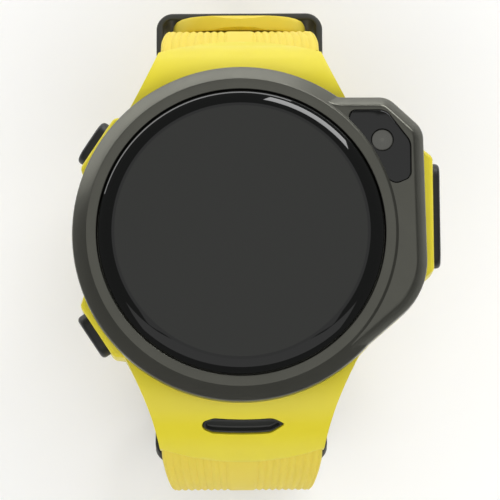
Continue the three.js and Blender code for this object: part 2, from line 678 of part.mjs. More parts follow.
const vibrationMotor = () => disc(2.6, 40.7, 43.2, SMALL_STEPS).translate([-5, 13, 0]);
const simHolder = () => box(1.5, 8.5, 9.2, 15.2, 43.8, 45.8);
const microphone = () => box(-4, -1.2, 9.4, 11.4, 44.9, 45.8);

// ---- back ----
function screwPlaces() {
  return [45, 135, 225, 315].map((a) => [16.6 * Math.cos(rad(a)), 16.6 * Math.sin(rad(a))]);
}

function screwHole(x, y) {
  return disc(0.85, CASE_BASE - 1, CASE_FLOOR + 1, 16).translate([x, y, 0]);
}

function backScrew(x, y) {
  const head = disc(1.2, COVER_BASE + 0.15, COVER_BASE + 0.9, SMALL_STEPS);
  const shank = disc(0.55, COVER_BASE + 0.8, CASE_FLOOR - 0.2, 12);
  const drive = disc(0.5, COVER_BASE - 1, COVER_BASE + 0.5, 6);
  return head.add(shank).subtract(drive).translate([x, y, 0]);
}

function backCover() {
  let body = turned([[0, COVER_BASE], [COVER_RADIUS - 1.2, COVER_BASE], [COVER_RADIUS, COVER_BASE + 0.9],
    [COVER_RADIUS, COVER_TOP], [0, COVER_TOP]]);
  for (const [x, y] of screwPlaces()) {
    body = body.subtract(disc(1.5, COVER_BASE - 1, COVER_BASE + 1.1, SMALL_STEPS).translate([x, y, 0]));
    body = body.subtract(disc(0.85, COVER_BASE, COVER_TOP + 1, 16).translate([x, y, 0]));
  }
  body = body.subtract(disc(5.3, COVER_BASE - 1, COVER_BASE + 0.9, 28));
  for (const x of [-1.6, 1.6]) body = body.subtract(disc(0.95, 30, 50, SMALL_STEPS).translate([x, 11.5, 0]));
  return body;
}

const sensorWindow = () => turned([[0, COVER_BASE - 0.35], [3, COVER_BASE - 0.3], [4.8, COVER_BASE + 0.05],
  [5, COVER_BASE + 0.3], [5, COVER_BASE + 0.7], [0, COVER_BASE + 0.7]], 28);
const chargeContact = (x) => disc(0.75, COVER_BASE + 0.1, COVER_TOP + 0.6, SMALL_STEPS).translate([x, 11.5, 0]);

// ---- the assembly ----
const watch = new THREE.Group();

const head = new THREE.Group();
watch.add(head);
piece("bezel", bezel(), BLACK_SATIN, head);
piece("cover_glass", coverGlass(), GLASS, head);
piece("display_gasket", ring(17, 18.2, GLASS_LEDGE + 0.15, GLASS_LEDGE + 0.55), SEAL_RUBBER, head);
piece("display_panel", disc(DISPLAY_RADIUS, GLASS_LEDGE - 1, GLASS_LEDGE + 0.5), DISPLAY_BLACK, head);
piece("camera_window", cameraWindow(), BLACK_GLOSS, head);
piece("camera_lens", cameraLens(), LENS_GREY, head);
piece("camera_module", cameraModule(), BLACK_GLOSS, head);
piece("middle_case", middleCase(), YELLOW_CASE, head);
piece("speaker_outlet", outletTrim(), BLACK_GLOSS, head);

for (const [name, button] of Object.entries(BUTTONS)) {
  const turnedGroup = new THREE.Group();
  turnedGroup.rotation.z = button.angle;
  head.add(turnedGroup);
  piece("button_" + name, buttonSolid(button), BLACK_SATIN, turnedGroup);
  piece("button_seal_" + name, buttonSeal(button), SEAL_RUBBER, turnedGroup);
  piece("button_switch_" + name, buttonSwitch(button), STEEL, turnedGroup);
}

piece("main_board", mainBoard(), BOARD_GREEN, head);
piece("battery", batteryCell(), CELL_SILVER, head);
piece("vibration_motor", vibrationMotor(), STEEL, head);
piece("speaker", speakerUnit(), BLACK_SATIN, head);
piece("sim_holder", simHolder(), STEEL, head);
piece("microphone", microphone(), GOLD, head);

piece("back_cover", backCover(), BLACK_SATIN, head);
piece("back_gasket", ring(15.2, 15.55, COVER_TOP + 0.1, CASE_BASE - 0.1), SEAL_RUBBER, head);
piece("sensor_window", sensorWindow(), BLACK_GLOSS, head);
piece("charge_contact_left", chargeContact(-1.6), GOLD, head);
piece("charge_contact_right", chargeContact(1.6), GOLD, head);
screwPlaces().forEach(([x, y], i) => piece("back_screw_" + (i + 1), backScrew(x, y), STEEL, head));

const strap = new THREE.Group();
watch.add(strap);
piece("lug_bar_upper", crossBar(knuckleCentre(1), LUG_BAR_RADIUS, LUG_BAR_LENGTH), STEEL, strap);
piece("lug_bar_lower", crossBar(knuckleCentre(-1), LUG_BAR_RADIUS, LUG_BAR_LENGTH), STEEL, strap);
piece("strap_short", strapShort(), YELLOW_SILICONE, strap);
piece("strap_long", strapLong(), YELLOW_SILICONE, strap);
piece("buckle_pin", crossBar(PIN, PIN_RADIUS, PIN_LENGTH), STEEL, strap);
piece("buckle_frame", buckleFrame(), BLACK_METAL, strap);
piece("buckle_tongue", buckleTongue(), BLACK_METAL, strap);
piece("keeper", keeper(), BLACK_SATIN, strap);

export default watch;
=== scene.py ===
import json
import math

import bmesh
import bpy
from mathutils import Matrix, Vector


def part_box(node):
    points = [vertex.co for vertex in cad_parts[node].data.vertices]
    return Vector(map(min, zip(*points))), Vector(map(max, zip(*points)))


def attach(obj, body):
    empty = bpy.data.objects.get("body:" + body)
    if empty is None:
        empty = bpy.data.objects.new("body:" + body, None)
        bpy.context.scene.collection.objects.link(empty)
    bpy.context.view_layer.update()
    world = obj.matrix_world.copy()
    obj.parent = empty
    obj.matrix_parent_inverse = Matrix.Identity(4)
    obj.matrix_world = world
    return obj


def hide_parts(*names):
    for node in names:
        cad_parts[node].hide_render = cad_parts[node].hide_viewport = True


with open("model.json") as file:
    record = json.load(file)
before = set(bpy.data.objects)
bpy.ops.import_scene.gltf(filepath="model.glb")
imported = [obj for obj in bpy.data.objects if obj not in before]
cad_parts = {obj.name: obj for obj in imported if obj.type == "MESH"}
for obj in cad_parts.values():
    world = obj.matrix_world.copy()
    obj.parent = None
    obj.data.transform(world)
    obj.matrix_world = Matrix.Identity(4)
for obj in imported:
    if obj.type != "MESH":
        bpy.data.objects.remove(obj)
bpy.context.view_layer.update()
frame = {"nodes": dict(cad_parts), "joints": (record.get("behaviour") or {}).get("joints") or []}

MM = 0.001


# ---- sizes taken from the frame ----
def low_mm(node):
    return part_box(node)[0] / MM


def high_mm(node):
    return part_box(node)[1] / MM


joints = {joint["name"]: joint for joint in frame["joints"]}
GLASS_TOP = high_mm("cover_glass").z
GLASS_BASE = low_mm("cover_glass").z
GLASS_RADIUS = high_mm("cover_glass").y
BEZEL_TOP = high_mm("bezel").z
BEZEL_BASE = low_mm("bezel").z
BEZEL_RADIUS = high_mm("bezel").y
CASE_TOP = high_mm("middle_case").z
CASE_BASE = low_mm("middle_case").z
WINDOW_TOP = high_mm("camera_window").z
LENS_X, LENS_Y, _ = (low_mm("camera_lens") + high_mm("camera_lens")) / 2
COVER_BASE = low_mm("back_cover").z
COVER_TOP = high_mm("back_cover").z
PIN_Y, PIN_Z = (value / MM for value in joints["buckle_swing"]["pos_m"][1:])
ARC_Y, ARC_Z = (value / MM for value in joints["keeper_slide"]["pos_m"][1:])

# bezel and camera shoulder
BEZEL_BORE = GLASS_RADIUS + 0.2
BEZEL_FLAT = 19.88
BEZEL_SLOPE = 1.6  # height of the sloping outer ring
GLASS_FLAT = 16.56
GLASS_EDGE_DROP = 1.0
DISPLAY_ACTIVE = 16.2
SHOULDER_TOP = WINDOW_TOP - 0.05
SHOULDER_CHAMFER = 1.3

# middle case
CASE_RADIUS = 21.5
CAVITY_RADIUS = 18.6
CASE_FLOOR = CASE_BASE + 1.2
LUG_HALF = 10.7
LUG_BOW = {1: 2.2, -1: 1.6}  # how far the end bows outwards in the middle
LUG_CORNER = {1: 1.25, -1: 0.4}  # how far the corners of the end stand back
LUG_END = {1: 35.0, -1: 32.8}  # degrees above the middle of the strap's side arc
OUTLET_Y, OUTLET_Z, OUTLET_TILT = -24.3, 44.6, math.radians(42.2)

# strap loop, seen from the side: two side arcs, two corner arcs and a flat back
STRAP_HALF_THICK = 1.0
LAYER_PITCH = 2.3
SIDE_RADIUS = 25.0
CORNER_RADIUS = 14.0
BACK_HEIGHT = 3.3
CORNER_Z = BACK_HEIGHT + CORNER_RADIUS
CORNER_ANGLE = math.asin((ARC_Z - CORNER_Z) / (SIDE_RADIUS - CORNER_RADIUS))
CORNER_Y = ARC_Y + (SIDE_RADIUS - CORNER_RADIUS) * math.cos(CORNER_ANGLE)
CORNER_LENGTH = CORNER_RADIUS * (math.pi / 2 - CORNER_ANGLE)
FLAT = {1: CORNER_Y, -1: CORNER_Y + 1}  # half length of the flat on the 12 and the 6 o'clock side
STRAP_WIDTHS = ((-1, 9.0), (14, 9.0), (27, 9.3), (34, 9.95), (39, 10.45), (60, 10.6))
STRAP_NOMINAL = 10.0
RIB_PITCH = 20 / 21
RIB_DEPTH = 0.2
RIB_FREE = 1.587  # half width of the smooth middle band
HOLE_PITCH = 5.3
HOLE_LENGTH = 4.0
HOLE_WIDTH = 2.4
HOLES = 11
FIRST_HOLE = -3.5 * HOLE_PITCH - 1

# buttons: push direction, seat face, cap face, middle and length of the cap, ends of the seat
BUTTON_Z = (low_mm("button_right").z + high_mm("button_right").z) / 2
BUTTON_HEIGHT = 3.6
SIDE_BUTTON = {"seat": 22.4, "face": 23.6, "along": 0.0, "length": 6.3, "ends": (-3.9, 3.9)}
BUTTONS = {
    "upper_left": {**SIDE_BUTTON, "angle": math.radians(180 - 33.5)},
    "lower_left": {**SIDE_BUTTON, "angle": math.radians(180 + 33.5)},
    "right": {"seat": 25.0, "face": 25.95, "along": 2.85, "length": 13.8, "ends": (-4.6, 10.3), "angle": 0.0},
}


# ---- outlines ----
def filleted(corners, closed=True, steps=8):
    """Points (x, y, radius) joined by straight lines, with each corner rounded by an arc."""
    points = []
    for i, (x, y, radius) in enumerate(corners):
        here = Vector((x, y))
        if radius == 0 or (not closed and i in (0, len(corners) - 1)):
            points.append((x, y))
            continue
        back = Vector(corners[i - 1][:2]) - here
        ahead = Vector(corners[(i + 1) % len(corners)][:2]) - here
        half = back.angle(ahead) / 2
        reach = min(radius / math.tan(half), 0.49 * back.length, 0.49 * ahead.length)
        centre = here + (back.normalized() + ahead.normalized()).normalized() * reach / math.cos(half)
        start = here + back.normalized() * reach - centre
        end = here + ahead.normalized() * reach - centre
        for k in range(steps + 1):
            spoke = start.lerp(end, k / steps).normalized() * start.length
            points.append(tuple(centre + spoke))
    return points


def slot_outline(length, width, steps=12):
    half = (length - width) / 2
    points = []
    for k in range(2 * steps + 2):
        angle = -math.pi / 2 + math.pi * (k if k <= steps else k - 1) / steps
        points.append((math.copysign(half, steps + 0.5 - k) + width / 2 * math.cos(angle),
                       width / 2 * math.sin(angle)))
    return points


def quadratic(start, bend, end, steps=14):
    """Points of a quadratic curve, both ends included."""
    start, bend, end = Vector(start), Vector(bend), Vector(end)
    return [tuple(start.lerp(bend, k / steps).lerp(bend.lerp(end, k / steps),
                                                   k / steps)) for k in range(steps + 1)]


def shoulder_outline(grow):
    g = grow
    return filleted([
        (0, 0, 0), (13.9 + g, -16.5 - g, 0), (24 + g, -7.75 - g, 9), (23.6 + g, 13.4 + g, 2.9),
        (19.05, 17.65 + g, 2.9), (12.4, 17.65 + g, 4), (10.2, 18.9 + g, 0),
    ])


def window_outline(grow):
    g = grow
    return filleted([
        (13.7 - g, 13.9, 0.6), (14.3 - g, 15.7 + g, 0.9), (18.8, 15.7 + g, 1.9), (21.9 + g, 11.6, 2.2),
        (21.9 + g, 6.9, 1.1), (19.9, 6.1 - g, 1.3), (18.2 - g, 7.2, 1.0),
    ])


# ---- solids ----
def slab(outline, low, high):
    """An outline in plan made solid between two heights."""
    bm = bmesh.new()
    face = bm.faces.new([bm.verts.new((x, y, low)) for x, y in outline])
    made = bmesh.ops.extrude_face_region(bm, geom=[face])["geom"]
    rising = [item for item in made if isinstance(item, bmesh.types.BMVert)]
    bmesh.ops.translate(bm, vec=(0, 0, high - low), verts=rising)
    bmesh.ops.recalc_face_normals(bm, faces=bm.faces)
    return bm


def side_slab(outline, half_width):
    """An outline (y, z) seen from the side made solid across X."""
    bm = slab(outline, -half_width, half_width)
    turn = Matrix(((0, 0, 1), (1, 0, 0), (0, 1, 0))).to_4x4()
    bmesh.ops.transform(bm, matrix=turn, verts=bm.verts)
    return bm


def turned(profile, closed=True, steps=144):
    """An outline of (radius, height) turned about Z."""
    bm = bmesh.new()
    verts = [bm.verts.new((max(point[0], 0), 0, point[1])) for point in profile]
    pairs = zip(verts, verts[1:] + verts[:1]) if closed else zip(verts, verts[1:])
    edges = [bm.edges.new(pair) for pair in pairs]
    bmesh.ops.spin(bm, geom=verts + edges, axis=(0, 0, 1), angle=2 * math.pi, steps=steps, use_merge=True)
    bmesh.ops.remove_doubles(bm, verts=bm.verts, dist=0.0005)
    bmesh.ops.recalc_face_normals(bm, faces=bm.faces)
    return bm


def round_bar(start, end, radius, steps=48):
    """A round bar between two points, with plain ends."""
    start, end = Vector(start), Vector(end)
    bm = bmesh.new()
    bmesh.ops.create_cone(bm, cap_ends=True, segments=steps, radius1=radius, radius2=radius,
                          depth=(end - start).length)
    turn = Vector((0, 0, 1)).rotation_difference(end - start).to_matrix().to_4x4()
    bmesh.ops.transform(bm, matrix=Matrix.Translation((start + end) / 2) @ turn, verts=bm.verts)
    return bm


def block(low, high):
    bm = bmesh.new()
    bmesh.ops.create_cube(bm, size=1)
    low, high = Vector(low), Vector(high)
    bmesh.ops.scale(bm, vec=high - low, verts=bm.verts)
    bmesh.ops.translate(bm, vec=(low + high) / 2, verts=bm.verts)
    return bm


def soften(bm, width, segments=3, chosen=lambda edge: True, sharper_than=30):
    """Rounds the edges that are sharper than an angle and are chosen."""
    limit = math.radians(sharper_than)
    edges = [e for e in bm.edges if e.is_manifold and e.calc_face_angle() > limit and chosen(e)]
    bmesh.ops.bevel(bm, geom=edges, offset=width, offset_type="OFFSET", segments=segments, profile=0.5,
                    affect="EDGES", material=-1, clamp_overlap=True)
    return bm


def at_height(height, slack=0.01):
    return lambda edge: all(abs(v.co.z - height) < slack for v in edge.verts)


def join(bm, other):
    """Adds another solid's faces to bm."""
    mesh = bpy.data.meshes.new("part")
    other.to_mesh(mesh)
    other.free()
    bm.from_mesh(mesh)
    bpy.data.meshes.remove(mesh)
    return bm


def carve(bm, cutter, operation="DIFFERENCE"):
    """bm with cutter cut away, joined on or kept in common."""
    objects = []
    for solid in (bm, cutter):
        mesh = bpy.data.meshes.new("part")
        solid.to_mesh(mesh)
        solid.free()
        objects.append(bpy.data.objects.new("part", mesh))
        bpy.context.scene.collection.objects.link(objects[-1])
    change = objects[0].modifiers.new("carve", "BOOLEAN")
    change.operation = operation
    change.solver = "EXACT"
    change.object = objects[1]
    bpy.context.view_layer.update()
    result = objects[0].evaluated_get(bpy.context.evaluated_depsgraph_get()).to_mesh()
    made = bmesh.new()
    made.from_mesh(result)
    for each in objects:
        mesh = each.data
        bpy.data.objects.remove(each)
        bpy.data.meshes.remove(mesh)
    return made


def towards(bm, angle):
    """Turns a solid made along +X to a button's push direction."""
    bmesh.ops.rotate(bm, cent=(0, 0, 0), matrix=Matrix.Rotation(angle, 3, "Z"), verts=bm.verts)
    return bm


def finish_piece(name, bm, material, body, slot, *nodes, crease=32):
    """Turns a bmesh in millimetres into a piece that rides on a body and stands for CAD nodes."""
    bmesh.ops.remove_doubles(bm, verts=bm.verts, dist=0.0005)
    bmesh.ops.dissolve_degenerate(bm, edges=bm.edges, dist=0.0005)
    bmesh.ops.recalc_face_normals(bm, faces=bm.faces)
    bmesh.ops.scale(bm, vec=(MM, MM, MM), verts=bm.verts)
    mesh = bpy.data.meshes.new(name)
    bm.to_mesh(mesh)
    bm.free()
    mesh.polygons.foreach_set("use_smooth", [True] * len(mesh.polygons))
    mesh.set_sharp_from_angle(angle=math.radians(crease))
    mesh.materials.append(material)
    piece = bpy.data.objects.new(name, mesh)
    bpy.context.scene.collection.objects.link(piece)
    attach(piece, body)
    if nodes:
        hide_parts(*nodes)
    return piece


# ---- materials ----
def srgb(code):
    """A hex colour as linear RGBA."""
    parts = [int(code[i:i + 2], 16) / 255 for i in (0, 2, 4)]
    return (*(c / 12.92 if c <= 0.04045 else ((c + 0.055) / 1.055) ** 2.4 for c in parts), 1)


def add_node(tree, kind, inputs=None, **settings):
    """Adds a node with its settings; an input is a value or the socket it is linked to."""
    made = tree.nodes.new(kind)
    for name, value in settings.items():
        setattr(made, name, value)
    for key, value in (inputs or {}).items():
        if isinstance(value, bpy.types.NodeSocket):
            tree.links.new(value, made.inputs[key])
        else:
            made.inputs[key].default_value = value
    return made


def new_surface(name, **sockets):
    """A material with one Principled shader; sockets are its input values."""
    material = bpy.data.materials.new(name)
    material.use_nodes = True
    tree = material.node_tree
    shader = tree.nodes["Principled BSDF"]
    for key, value in sockets.items():
        shader.inputs[key.replace("_", " ")].default_value = value
    place = add_node(tree, "ShaderNodeTexCoord").outputs["Object"]
    return material, tree, shader, place


def grained(name, colour, tint, rough, rough_spread, grain_mm, grain_depth_mm, patch_mm=4.0, **sockets):
    """A moulded surface: slow colour patches, a fine grain in the bump and an uneven sheen."""
    material, tree, shader, place = new_surface(name, **sockets)
    patch = add_node(tree, "ShaderNodeTexNoise", {"Vector": place, "Scale": 1 / (patch_mm * MM), "Detail": 3})
    blend = add_node(tree, "ShaderNodeMix", {"Factor": patch.outputs["Fac"], "A": srgb(colour),
                                             "B": srgb(tint)},
                     data_type="RGBA")
    tree.links.new(blend.outputs["Result"], shader.inputs["Base Color"])
    grain = add_node(tree, "ShaderNodeTexNoise", {"Vector": place, "Scale": 1 / (grain_mm * MM), "Detail": 4,
                                                  "Roughness": 0.6})
    sheen = add_node(tree, "ShaderNodeMapRange",
                     {"Value": grain.outputs["Fac"], "To Min": rough - rough_spread,
                                                  "To Max": rough + rough_spread})
    tree.links.new(sheen.outputs["Result"], shader.inputs["Roughness"])
    bump = add_node(tree, "ShaderNodeBump", {"Height": grain.outputs["Fac"], "Strength": 1.0,
                                             "Distance": grain_depth_mm * MM})
    tree.links.new(bump.outputs["Normal"], shader.inputs["Normal"])
    return material


def yellow_abs():
    """Moulded ABS, spark-eroded tool: satin with a grain of about 0.1 mm."""
    return grained("yellow_abs", "E0D22A", "DCCB27", 0.42, 0.07, 0.16, 0.006, Subsurface_Weight=0.05,
                   Subsurface_Radius=(0.0008, 0.0006, 0.0002))


def yellow_silicone():
    """Moulded silicone: matt and slightly translucent, with a dusty fine grain."""
    return grained("yellow_silicone", "E4CF46", "E0C93E", 0.6, 0.08, 0.2, 0.008, Subsurface_Weight=0.15,
                   Subsurface_Radius=(0.0015, 0.0011, 0.0004))


def satin_black():
    """Dark metallic paint on PC: catches light on its chamfers, with a fine sparkling grain."""
    return grained("satin_black", "67675F", "5F5F58", 0.31, 0.06, 0.12, 0.006, Metallic=0.9)


def button_black():
    """Moulded ABS, polished a little by fingers."""
    return grained("button_black", "191A18", "161715", 0.45, 0.06, 0.12, 0.005)


def black_silicone():
    """Moulded silicone: soft black, matt."""
    return grained("black_silicone", "3A3B37", "333430", 0.5, 0.07, 0.2, 0.008)


def black_coating():
    """Vapour-coated steel: dark, with a bead-blasted grain."""
    return grained("black_coating", "1B1C1B", "151615", 0.38, 0.06, 0.1, 0.004, Metallic=0.8)


def gloss_black():
    """Polished polycarbonate: clear deep gloss, with a faint wave from moulding."""
    return grained("gloss_black", "0C0D0C", "090A09", 0.08, 0.02, 1.5, 0.002, IOR=1.55)


def outlet_black():
    """Half-gloss moulded PC round the sound outlet."""
    return grained("outlet_black", "2E2F2D", "292A28", 0.24, 0.05, 0.12, 0.003, IOR=1.55)


def back_plastic():
    """Moulded PC for the back cover: finer and darker than the bezel."""
    return grained("back_plastic", "232422", "1D1E1C", 0.42, 0.07, 0.14, 0.006)


def rubber_seal():
    return grained("rubber_seal", "161615", "121211", 0.75, 0.08, 0.2, 0.006)


def stainless():
    """Drawn stainless wire: fine bright scratches along X."""
    material, tree, shader, place = new_surface("stainless", Metallic=1.0, Base_Color=srgb("C4C6C8"))
    stretch = add_node(tree, "ShaderNodeMapping", {"Vector": place, "Scale": (0.05, 1, 1)})
    scratch = add_node(tree, "ShaderNodeTexNoise",
                       {"Vector": stretch.outputs["Vector"], "Scale": 1 / (0.08 * MM)})
    sheen = add_node(tree, "ShaderNodeMapRange",
                     {"Value": scratch.outputs["Fac"], "To Min": 0.2, "To Max": 0.4})
    tree.links.new(sheen.outputs["Result"], shader.inputs["Roughness"])
    return material


def gold_plate():
    """Gold on a nickel pin: bright, a little rubbed."""
    return grained("gold_plate", "D9B45A", "CFA648", 0.25, 0.06, 0.1, 0.002, Metallic=1.0)


def board_resist():
    """Green solder resist over glass fibre."""
    return grained("board_resist", "1F5A3A", "1A4F32", 0.4, 0.08, 0.3, 0.004)


def cell_foil():
    """Pouch cell foil: dull silver with soft creases."""
    return grained("cell_foil", "B4B6B8", "A9ABAD", 0.35, 0.08, 1.2, 0.02, Metallic=1.0)


def display_glass():
    """Polished glass with a black print behind it; the lit area is a little greyer than the border."""
    material, tree, shader, place = new_surface("display_glass", Roughness=0.03, IOR=1.52)
    flat = add_node(tree, "ShaderNodeVectorMath", {0: place, 1: (1, 1, 0)}, operation="MULTIPLY")
    reach = add_node(tree, "ShaderNodeVectorMath", {0: flat.outputs["Vector"]}, operation="LENGTH")
    inside = add_node(tree, "ShaderNodeMath", {0: reach.outputs["Value"], 1: DISPLAY_ACTIVE * MM},
                      operation="LESS_THAN")
    tone = add_node(tree, "ShaderNodeMix", {"Factor": inside.outputs["Value"], "A": srgb("080908"),
                                            "B": srgb("1A1B18")},
                    data_type="RGBA")
    tree.links.new(tone.outputs["Result"], shader.inputs["Base Color"])
    return material


def lens_glass():
    """Coated lens: even grey-green gloss, a painted highlight in the middle, darker towards the barrel rim.
    """
    material, tree, shader, place = new_surface("lens_glass", Roughness=0.12, IOR=1.6)
    flat = add_node(tree, "ShaderNodeMapping", {"Vector": place, "Location": (-LENS_X * MM, -LENS_Y * MM, 0),
                                                "Scale": (1, 1, 0)})
    reach = add_node(tree, "ShaderNodeVectorMath", {0: flat.outputs["Vector"]}, operation="LENGTH")
    share = add_node(tree, "ShaderNodeMath", {0: reach.outputs["Value"], 1: 1.4 * MM}, operation="DIVIDE")
    ramp = add_node(tree, "ShaderNodeValToRGB", {"Fac": share.outputs["Value"]})
    stops = ramp.color_ramp.elements
    # the lighter grey at the middle, out to 0.14 of the radius, is a painted highlight; the dark end at the
    # rim is the black barrel
    stops[0].position, stops[0].color = 0.0, srgb("51514B")
    stops[1].position, stops[1].color = 1.0, srgb("1E1E1C")
    for position, code in ((0.14, "51514B"), (0.2, "4A4A45"), (0.88, "474742")):
        stops.new(position).color = srgb(code)
    tree.links.new(ramp.outputs["Color"], shader.inputs["Base Color"])
    return material


YELLOW_ABS = yellow_abs()
YELLOW_SILICONE = yellow_silicone()
SATIN_BLACK = satin_black()
BUTTON_BLACK = button_black()
BLACK_SILICONE = black_silicone()
BLACK_COATING = black_coating()
GLOSS_BLACK = gloss_black()
BACK_PLASTIC = back_plastic()
OUTLET_BLACK = outlet_black()
RUBBER_SEAL = rubber_seal()
STAINLESS = stainless()
GOLD_PLATE = gold_plate()
BOARD_RESIST = board_resist()
CELL_FOIL = cell_foil()
DISPLAY_GLASS = display_glass()
LENS_GLASS = lens_glass()


# ---- bezel, glass and camera ----
def make_bezel():
    slope_base = BEZEL_TOP - BEZEL_SLOPE
    bm = turned(filleted([
        (BEZEL_BORE - 1.75, 47.8, 0.1), (18.4, 47.8, 0), (18.4, BEZEL_BASE, 0.1),
        (BEZEL_RADIUS, BEZEL_BASE, 0.35),
        (BEZEL_RADIUS, slope_base, 0.5), (BEZEL_FLAT, BEZEL_TOP, 0.14), (BEZEL_BORE, BEZEL_TOP, 0.14),
        (BEZEL_BORE, 49, 0.05), (BEZEL_BORE - 1.75, 49, 0.05),
    ], steps=4))
    shoulder = slab(shoulder_outline(0), BEZEL_BASE, SHOULDER_TOP)
    soften(shoulder, SHOULDER_CHAMFER, 1, at_height(SHOULDER_TOP))
    soften(shoulder, 0.22, 3, lambda e: max(v.co.z for v in e.verts) > BEZEL_BASE + 0.5 and on_outside(e), 15)
    soften(shoulder, 0.3, 3, at_height(BEZEL_BASE))
    shoulder = carve(shoulder, slab(circle_outline(19.2), BEZEL_BASE - 1, GLASS_TOP))
    shoulder = carve(shoulder, slab(window_outline(0.1), WINDOW_TOP - 1.05, GLASS_TOP))
    join(bm, shoulder)
    finish_piece("bezel_shell", bm, SATIN_BLACK, "watch", "bezel_black", "bezel")


def circle_outline(radius, steps=144, centre=(0, 0)):
    turn = [2 * math.pi * k / steps for k in range(steps)]
    return [(centre[0] + radius * math.cos(a), centre[1] + radius * math.sin(a)) for a in turn]


def on_outside(edge):
    """True for edges of the shoulder that lie outside the round bezel and run along the outline."""
    a, b = (v.co for v in edge.verts)
    return min(a.xy.length, b.xy.length) > BEZEL_FLAT and abs(a.z - b.z) < 0.01


def make_glass():
    edge = GLASS_TOP - GLASS_EDGE_DROP
    slope = quadratic((GLASS_RADIUS - 0.12, edge + 0.12), (GLASS_RADIUS - 0.7, GLASS_TOP - 0.3),
                      (GLASS_FLAT, GLASS_TOP), 8)
    profile = [(0, GLASS_BASE), (GLASS_RADIUS - 0.1, GLASS_BASE), (GLASS_RADIUS, GLASS_BASE + 0.1),
               (GLASS_RADIUS, edge), *slope, (GLASS_FLAT - 0.1, GLASS_TOP), (0, GLASS_TOP)]
    finish_piece("glass_dome", turned(profile, closed=False, steps=180), DISPLAY_GLASS, "watch",
                 "cover_glass",
                 "cover_glass", crease=14)


def make_camera():
    window = slab(window_outline(0), WINDOW_TOP - 0.8, WINDOW_TOP)
    soften(window, 0.16, 3, at_height(WINDOW_TOP))
    window = carve(window, slab(circle_outline(1.48, 48, (LENS_X, LENS_Y)), WINDOW_TOP - 2, GLASS_TOP))
    finish_piece("camera_pane", window, GLOSS_BLACK, "watch", "gloss_black", "camera_window")
    top = WINDOW_TOP - 0.06
    lens = turned([(0, top - 0.9), (1.42, top - 0.9), (1.42, top - 0.12), (1.3, top - 0.04),
                   (1.2, top - 0.06),
                   (0.6, top - 0.01), (0, top)], closed=False, steps=64)
    bmesh.ops.translate(lens, vec=(LENS_X, LENS_Y, 0), verts=lens.verts)
    finish_piece("camera_eye", lens, LENS_GLASS, "watch", "lens_grey", "camera_lens")


# ---- middle case ----
def lug_plan(side):
    """Plan outline of a lug: flared flanks and an end that bows outwards."""
    tip = abs(side_place(math.radians(LUG_END[side]), STRAP_HALF_THICK, side)[0])
    corner = tip - LUG_CORNER[side]
    flank = quadratic((16.2, 13.6), (11.8, 21.4), (LUG_HALF, corner))
    steps = 16
    across = [LUG_HALF * (1 - 2 * k / steps) for k in range(1, steps)]
    end = [(x, corner + LUG_BOW[side] * (1 - (x / LUG_HALF) ** 2)) for x in across]
    right = flank + end + [(-x, y) for x, y in reversed(flank)]
    return [(x, side * y) for x, y in right]


def make_lug(side):
    """A lug: its top carries on the strap's curve, and its end hides the joint with the strap."""
    end = math.radians(LUG_END[side])
    curve = [side_place(end - math.radians(drop), STRAP_HALF_THICK + 0.12, side) for drop in (5, 3.4, 1.7, 0)]
    curve = [(abs(y), z) for y, z in curve]
    top = curve + quadratic(curve[-1], (24.3, CASE_TOP), (18.5, CASE_TOP), 24)[1:]
    under = [side_place(end - math.radians(5), -1.2, side), side_place(end, -2.6, side)]
    profile = [(13, CASE_BASE + 0.3), (20.6, CASE_BASE + 0.3), *((abs(y), z) for y, z in reversed(under)),
               *top,
               (13, CASE_TOP)]
    body = side_slab([(side * y, z) for y, z in profile], 19)
    body = carve(body, slab(lug_plan(side), CASE_BASE - 2, CASE_TOP + 2), "INTERSECT")
    for x in range(-15, 16, 2):  # short faces across, so that the top shades evenly
        bmesh.ops.bisect_plane(body, geom=body.verts[:] + body.edges[:] + body.faces[:], plane_co=(x, 0, 0),
                               plane_no=(1, 0, 0))

    def on_top(edge):
        return max(abs(v.co.y) for v in edge.verts) > 17.5 and max(v.co.z for v in edge.verts) > 39.6

    return soften(body, 0.55, 4, on_top, 35)


def seat_solid(button):
    low, high = button["ends"]
    seat = button["seat"]
    bm = slab([(12, low - 1.4), (seat - 1.7, low - 1.4), (seat, low), (seat, high), (seat - 1.7, high + 1.4),
               (12, high + 1.4)], BUTTON_Z - 3, CASE_TOP)
    return soften(bm, 0.5, 4, lambda e: min(v.co.x for v in e.verts) > 14, 20)


def button_prism(button, grow, near, far):
    bm = slab(slot_outline(button["length"] + 2 * grow, BUTTON_HEIGHT + 2 * grow), near, far)
    turn = Matrix(((0, 0, 1), (1, 0, 0), (0, 1, 0))).to_4x4()
    bmesh.ops.transform(bm, matrix=Matrix.Translation((0, button["along"], BUTTON_Z)) @ turn, verts=bm.verts)
    return bm


def outlet_outline(grow):
    """Outline of the sound outlet: bowed a little, round at one end and blunt-pointed at the other."""
    g = grow
    upper = [(3.9, 0.98 + g), (2.0, 0.84 + g), (0.0, 0.8 + g), (-2.0, 0.86 + g), (-3.8, 1.0 + g)]
    lower = [(-4.0, -1.1 - g), (-2.0, -1.26 - g), (0.0, -1.3 - g), (2.0, -1.26 - g), (3.6, -1.12 - g)]
    return filleted([(5.35 + g, 0.2, 0.25), *((x, y, 2.0) for x, y in upper[:1]),
                     *((x, y, 9.0) for x, y in upper[1:4]),
                     *((x, y, 1.1) for x, y in upper[4:]), (-5.2 - g, 0.6, 0.9), (-5.2 - g, -0.5, 0.9),
                     *((x, y, 1.1) for x, y in lower[:1]), *((x, y, 9.0) for x, y in lower[1:4]),
                     *((x, y, 1.6) for x, y in lower[4:])])


def on_lower_lug(bm):
    """Lays a solid made flat at Z = 0 on the slope of the lower lug."""
    tilt = Matrix.Rotation(OUTLET_TILT, 4, "X")
    bmesh.ops.transform(bm, matrix=Matrix.Translation((0.15, OUTLET_Y, OUTLET_Z)) @ tilt, verts=bm.verts)
    return bm


